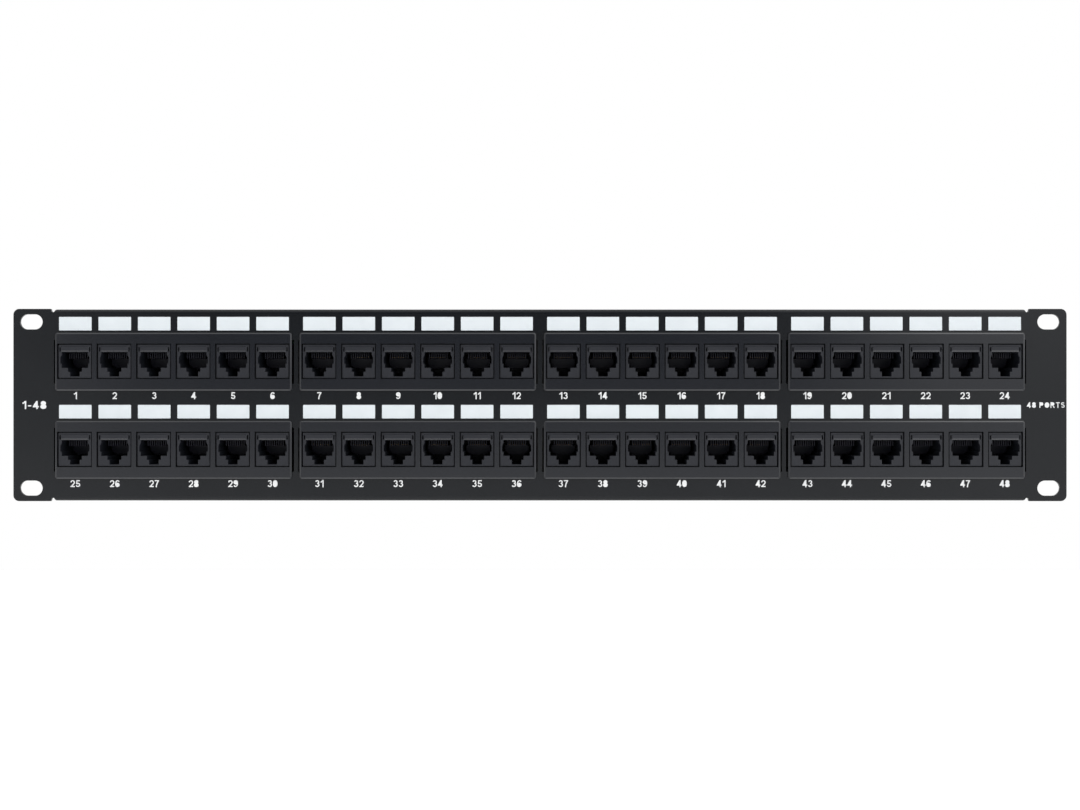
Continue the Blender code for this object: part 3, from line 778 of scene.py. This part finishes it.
def punchdown_clips():
    """Forked metal blades, one in each wire slot, between the two fins of teeth."""
    bm = bmesh.new()
    for z in (-BLOCK_OFFSET, BLOCK_OFFSET):
        for x in wire_slots():
            for side in (-1, 1):
                centre = x + side * (BLADE_WIDTH + BLADE_GAP) / 2
                rings = [ring(bm, rectangle(centre + side * lean, z, width, BLADE_THICKNESS),
                              BLOCK_SHOULDER + reach) for lean, width, reach in BLADE_STATIONS]
                for first, second in zip(rings, rings[1:]):
                    wall(bm, first, second)
                cap(bm, rings[0])
                cap(bm, rings[-1])
    return to_mesh(bm, "punchdown_clips", [MATERIALS["tin"]])


def rear_housing():
    bm = bmesh.new()
    width, height = HOUSING_SIZE.x, HOUSING_SIZE.z
    inside = HOUSING_BACK - HOUSING_BACK_WALL
    outer_front, outer_back = rounded_tube(
        bm, lambda inset: inset_rounded(0, 0, width, height, HOUSING_CORNER, inset),
        HOUSING_ROUND, HOUSING_FRONT, HOUSING_BACK, ends=(False, True))
    hollow = rectangle(0, 0, width - 2 * HOUSING_SIDE_WALL, height - 2 * HOUSING_TOP_WALL)
    inner_front, inner_back = tube(bm, hollow, HOUSING_FRONT, inside)
    opening = (BLOCK_SIZE.x + HOUSING_WINDOW_MARGIN, BLOCK_SIZE.z + HOUSING_WINDOW_MARGIN)
    windows = [rounded_tube(bm, lambda inset, z=z: inset_rectangle(0, z, *opening, -inset),
                            HOUSING_WINDOW_ROUND, inside, HOUSING_BACK, 2, (False, True))
               for z in (-BLOCK_OFFSET, BLOCK_OFFSET)]
    cap(bm, outer_front, [inner_front])
    cap(bm, inner_back, [pair[0] for pair in windows])
    cap(bm, outer_back, [pair[1] for pair in windows])
    return to_mesh(bm, "rear_housing", [MATERIALS["housing"]])


# ---------------------------------------------------------------- print on the steel
def label_areas():
    bm = bmesh.new()
    for x in port_positions():
        def outline(inset, x=x):
            return inset_rounded(x, LABEL_RISE, LABEL_WIDTH, LABEL_HEIGHT, LABEL_CORNER, inset)

        front, back = rounded_tube(bm, outline, PRINT_THICKNESS / 2, PRINT_FRONT, PRINT_BACK, 1)
        cap(bm, front)
        cap(bm, back)
    return to_mesh(bm, "label_areas", [MATERIALS["label"]])


def bend(centre_x, centre_z, radius_x, radius_z, start, end, steps=12):
    """A stretch of an ellipse, as points."""
    angles = [math.radians(start + (end - start) * i / steps) for i in range(steps + 1)]
    return [(centre_x + radius_x * math.cos(a), centre_z + radius_z * math.sin(a)) for a in angles]


def glyph_strokes():
    """Centre lines of the plain upright characters used, one cap height high, and each one's width."""
    left, middle, low, high = 0.1, 0.34, 0.1, 0.9
    six = [bend(middle, 0.325, 0.235, 0.225, 0, 360, 20),
           [(0.105, 0.325), *bend(0.375, 0.5, 0.27, 0.4, 175, 40)]]
    return {
        "0": (0.68, [[*bend(middle, 0.6, 0.235, 0.3, 0, 180), *bend(middle, 0.4, 0.235, 0.3, 180, 360),
                      (middle + 0.235, 0.6)]]),
        "1": (0.52, [[(0.40, 0.0), (0.40, 1.0)], [(0.06, 0.69), (0.22, 0.76), (0.36, 0.93)]]),
        "2": (0.68, [[*bend(middle, 0.66, 0.235, 0.24, 175, -35), (0.36, 0.33), (0.17, 0.12)],
                     [(0.04, low), (0.64, low)]]),
        "3": (0.68, [bend(0.33, 0.71, 0.2, 0.19, 165, -90), bend(0.33, 0.315, 0.235, 0.215, 90, -165)]),
        "4": (0.70, [[(0.48, 0.0), (0.48, 1.0)], [(0.02, 0.29), (0.69, 0.29)],
                     [(0.09, 0.30), (0.44, 0.93)]]),
        "5": (0.68, [[(0.14, high), (0.61, high)], [(0.20, 0.98), (0.15, 0.46)],
                     bend(0.33, 0.32, 0.24, 0.22, 145, -165)]),
        "6": (0.68, six),
        "7": (0.66, [[(0.04, high), (0.62, high)],
                     [(0.57, 0.94), (0.40, 0.62), (0.29, 0.32), (0.25, 0.0)]]),
        "8": (0.68, [bend(middle, 0.718, 0.21, 0.198, 0, 360, 18),
                     bend(middle, 0.302, 0.25, 0.218, 0, 360, 20)]),
        "9": (0.68, [[(2 * middle - x, 1 - z) for x, z in stroke] for stroke in six]),
        "-": (0.40, [[(0.02, 0.40), (0.38, 0.40)]]),
        "P": (0.70, [[(left, 0.0), (left, 1.0)],
                     [(left, high), (0.36, high), *bend(0.36, 0.68, 0.22, 0.22, 90, -90), (left, 0.46)]]),
        "O": (0.82, [[*bend(0.41, 0.55, 0.3, 0.35, 0, 180), *bend(0.41, 0.45, 0.3, 0.35, 180, 360),
                      (0.71, 0.55)]]),
        "R": (0.76, [[(left, 0.0), (left, 1.0)],
                     [(left, high), (0.38, high), *bend(0.38, 0.69, 0.21, 0.21, 90, -90), (left, 0.48)],
                     [(0.38, 0.48), (0.66, 0.0)]]),
        "T": (0.66, [[(0.02, high), (0.64, high)], [(0.33, 0.0), (0.33, high)]]),
        "S": (0.68, [[*bend(middle, 0.71, 0.21, 0.19, 30, 270),
                      *bend(middle, 0.31, 0.23, 0.21, 90, -150)]]),
        " ": (0.25, []),
    }


def stroke_quads(points, width):
    """Quads along a centre line, mitred at each turn; a loop's two ends meet."""
    points = [Vector(point) for point in points]
    closed = (points[0] - points[-1]).length < SAME_POINT
    sides = []
    for i, point in enumerate(points):
        before = points[i - 1] if i else points[-2 if closed else 0]
        after = points[i + 1] if i + 1 < len(points) else points[1 if closed else -1]
        steps = [(b - a).normalized() for a, b in ((before, point), (point, after))
                 if (b - a).length > SAME_POINT]
        along = sum(steps, Vector((0, 0))).normalized()
        across = Vector((-along.y, along.x))
        mitre = max(SHARPEST_MITRE, abs(across.dot(Vector((-steps[0].y, steps[0].x)))))
        sides.append((point + across * width / 2 / mitre, point - across * width / 2 / mitre))
    return [(a[0], b[0], b[1], a[1]) for a, b in zip(sides, sides[1:])]


def text_layout(body, weight, spacing):
    """All quads of a line of text in cap heights, with its ink centred on zero."""
    glyphs = glyph_strokes()
    cursor, quads = 0.0, []
    for character in body:
        width, strokes = glyphs[character]
        for stroke in strokes:
            quads += [[corner + Vector((cursor, 0)) for corner in quad]
                      for quad in stroke_quads(stroke, weight)]
        cursor += width + spacing
    reach = [corner.x for quad in quads for corner in quad]
    middle = Vector(((min(reach) + max(reach)) / 2, 0.5))
    return [[corner - middle for corner in quad] for quad in quads]


def printed_text(bm, body, x, z, cap_height, weight=STROKE_WEIGHT, spacing=LETTER_SPACING, stretch=1.0):
    """Adds a line of text to bm as one thin film, its overlapping strokes merged into one outline."""
    quads = text_layout(body, weight, spacing)
    corners = [corner for quad in quads for corner in quad]
    faces = [list(range(4 * i, 4 * i + 4)) for i in range(len(quads))]
    merged, _, triangles, _, _, sources = delaunay_2d_cdt(corners, [], faces, 1, MERGE_DISTANCE)
    inside = [triangle for triangle, source in zip(triangles, sources) if source]
    edge_uses = Counter(frozenset(pair) for t in inside for pair in zip(t, t[1:] + t[:1]))
    places = [(x + point.x * cap_height * stretch, z + point.y * cap_height) for point in merged]
    front, back = [[bm.verts.new((place_x, y, place_z)) for place_x, place_z in places]
                   for y in (PRINT_FRONT, PRINT_BACK)]
    for triangle in inside:
        bm.faces.new([front[i] for i in triangle])
        bm.faces.new([back[i] for i in reversed(triangle)])
        for i, j in zip(triangle, triangle[1:] + triangle[:1]):
            if edge_uses[frozenset((i, j))] == 1:
                bm.faces.new((front[j], front[i], back[i], back[j]))
    loose = [vert for vert in (*front, *back) if not vert.link_faces]
    bmesh.ops.delete(bm, geom=loose, context="VERTS")


def port_numbers(row, modules):
    bm = bmesh.new()
    for module in modules:
        for i, x in enumerate(port_positions()):
            number = (module - 1) * PORTS + i + 1
            centre = CENTRES[module]
            printed_text(bm, str(number), centre.x + x, centre.z - NUMBER_DROP, NUMBER_HEIGHT)
    return to_mesh(bm, f"port_numbers_{row}", [MATERIALS["print"]])


def ear_marks():
    bm = bmesh.new()
    for body, side, *lettering in EAR_MARKS:
        printed_text(bm, body, side * EAR_MARK_X, 0.0, *lettering)
    return to_mesh(bm, "ear_marks", [MATERIALS["print"]])


# ---------------------------------------------------------------- the assembly
def build_pieces():
    place("steel_face_panel", steel_panel(), stands_for=["face_panel"])
    shared = {
        "snap_bezel": (bezel(), "bezel_plastic", "front_bezel"),
        "six_jack_bank": (jack_bank(), "jack_plastic", "jack_bank"),
        "contact_comb": (contact_carrier(), "carrier_plastic", "contact_carrier"),
        "rear_shell": (rear_housing(), "housing_plastic", "rear_housing"),
    }
    block = punchdown_block()
    contacts, clips, labels = spring_contacts(), punchdown_clips(), label_areas()
    for n in MODULES:
        for name, (mesh, slot, node) in shared.items():
            place(f"{name}_{n}", mesh, CENTRES[n], [f"{node}_{n}"])
        for side, row in ((1, "upper"), (-1, "lower")):
            centre = CENTRES[n] + Vector((0, 0, side * BLOCK_OFFSET))
            place(f"wire_block_{row}_{n}", block, centre, [f"punchdown_{row}_{n}"])
        place(f"spring_contacts_{n}", contacts, CENTRES[n])
        place(f"wire_clips_{n}", clips, CENTRES[n])
        place(f"label_areas_{n}", labels, CENTRES[n])
        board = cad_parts[f"circuit_board_{n}"]
        board.data.materials.clear()
        board.data.materials.append(MATERIALS["board"])
    for row, modules in (("top", TOP_ROW), ("bottom", BOTTOM_ROW)):
        place(f"port_numbers_{row}", port_numbers(row, modules))
    place("ear_marks", ear_marks())


# ---------------------------------------------------------------- stage, light and camera
# The studio's light, as levels between two values of a direction's x, y or z
DIM_FRONT = 0.08
LEFT_LIGHT, RIGHT_LIGHT = (0.95, -0.355, -0.39), (0.6, 0.255, 0.285)
UPPER_RIGHT_LIGHT = (1.0, -0.01, 0.07)      # more of the light on the right, by height
WIDE_LIGHT = (1.0, 0.50, 0.62)              # far to either side
TOP_LIGHT = (1.0, 0.50, 0.65)
LOW_LIGHT = (1.9, 0.0, -0.10)
BACK_LIGHT = (1.0, -0.1, 0.1)


def studio_world():
    """White to the camera. As a light: bright all round, but dim in front, where the camera stands."""
    world = bpy.data.worlds.new("studio")
    bpy.context.scene.world = world
    world.use_nodes = True
    nodes, links = world.node_tree.nodes, world.node_tree.links

    def maths(operation, *values):
        node = nodes.new("ShaderNodeMath")
        node.operation = operation
        for socket, value in zip(node.inputs, values):
            if isinstance(value, float):
                socket.default_value = value
            else:
                links.new(value, socket)
        return node.outputs["Value"]

    def light(source, level, start, end):
        """None below start and its whole level above end; with start the larger it fades the other way."""
        node = nodes.new("ShaderNodeMapRange")
        node.interpolation_type = "SMOOTHSTEP"
        links.new(source, node.inputs["Value"])
        node.inputs["From Min"].default_value, node.inputs["From Max"].default_value = start, end
        node.inputs["To Max"].default_value = level
        return node.outputs["Result"]

    direction = nodes.new("ShaderNodeSeparateXYZ")
    links.new(nodes.new("ShaderNodeTexCoord").outputs["Generated"], direction.inputs["Vector"])
    x, y, z = direction.outputs
    brightest = DIM_FRONT
    for source, levels in ((x, LEFT_LIGHT), (x, RIGHT_LIGHT), (maths("ABSOLUTE", x), WIDE_LIGHT),
                           (z, TOP_LIGHT), (z, LOW_LIGHT), (y, BACK_LIGHT)):
        brightest = maths("MAXIMUM", light(source, *levels), brightest)
    corner = maths("MULTIPLY", light(x, 1.0, *RIGHT_LIGHT[1:]), light(z, *UPPER_RIGHT_LIGHT))
    brightest = maths("ADD", brightest, corner)
    to_camera = nodes.new("ShaderNodeLightPath").outputs["Is Camera Ray"]
    strength = maths("MULTIPLY_ADD", to_camera, maths("SUBTRACT", 1.0, brightest), brightest)
    links.new(strength, nodes["Background"].inputs["Strength"])
    nodes["Background"].inputs["Color"].default_value = (1, 1, 1, 1)


def stage():
    floor_mesh = bpy.data.meshes.new("floor")
    reach, level = 3.0, -0.5
    floor_mesh.from_pydata([(-reach, -reach, level), (reach, -reach, level), (reach, reach, level),
                            (-reach, reach, level)], [], [(0, 1, 2, 3)])
    graph = Graph("floor_paint")
    colour = graph.ramp(graph.noise(3.0, 2.0), ((0.3, (0.93, 0.93, 0.93)), (0.7, (0.95, 0.95, 0.95))))
    gloss = graph.ramp(graph.noise(8.0, 2.0), ((0.3, 0.8), (0.7, 0.9)))
    floor_mesh.materials.append(graph.finish(colour, gloss, specular=0.1))
    floor = bpy.data.objects.new("floor", floor_mesh)
    bpy.context.scene.collection.objects.link(floor)
    studio_world()


def camera():
    """Straight at the panel's centre from half a metre, framing the whole width."""
    distance, frame_width = 0.54, 0.49478
    data = bpy.data.cameras.new("camera")
    data.sensor_width = 36.0
    data.lens = data.sensor_width * distance / frame_width
    data.clip_start = 0.01
    holder = bpy.data.objects.new("camera", data)
    holder.location = (0, PANEL_FRONT - distance, 0)
    holder.rotation_euler = (math.radians(90), 0, 0)
    bpy.context.scene.collection.objects.link(holder)
    bpy.context.scene.camera = holder


build_pieces()
stage()
camera()
bpy.context.scene.view_settings.view_transform = "Standard"
bpy.context.view_layer.update()
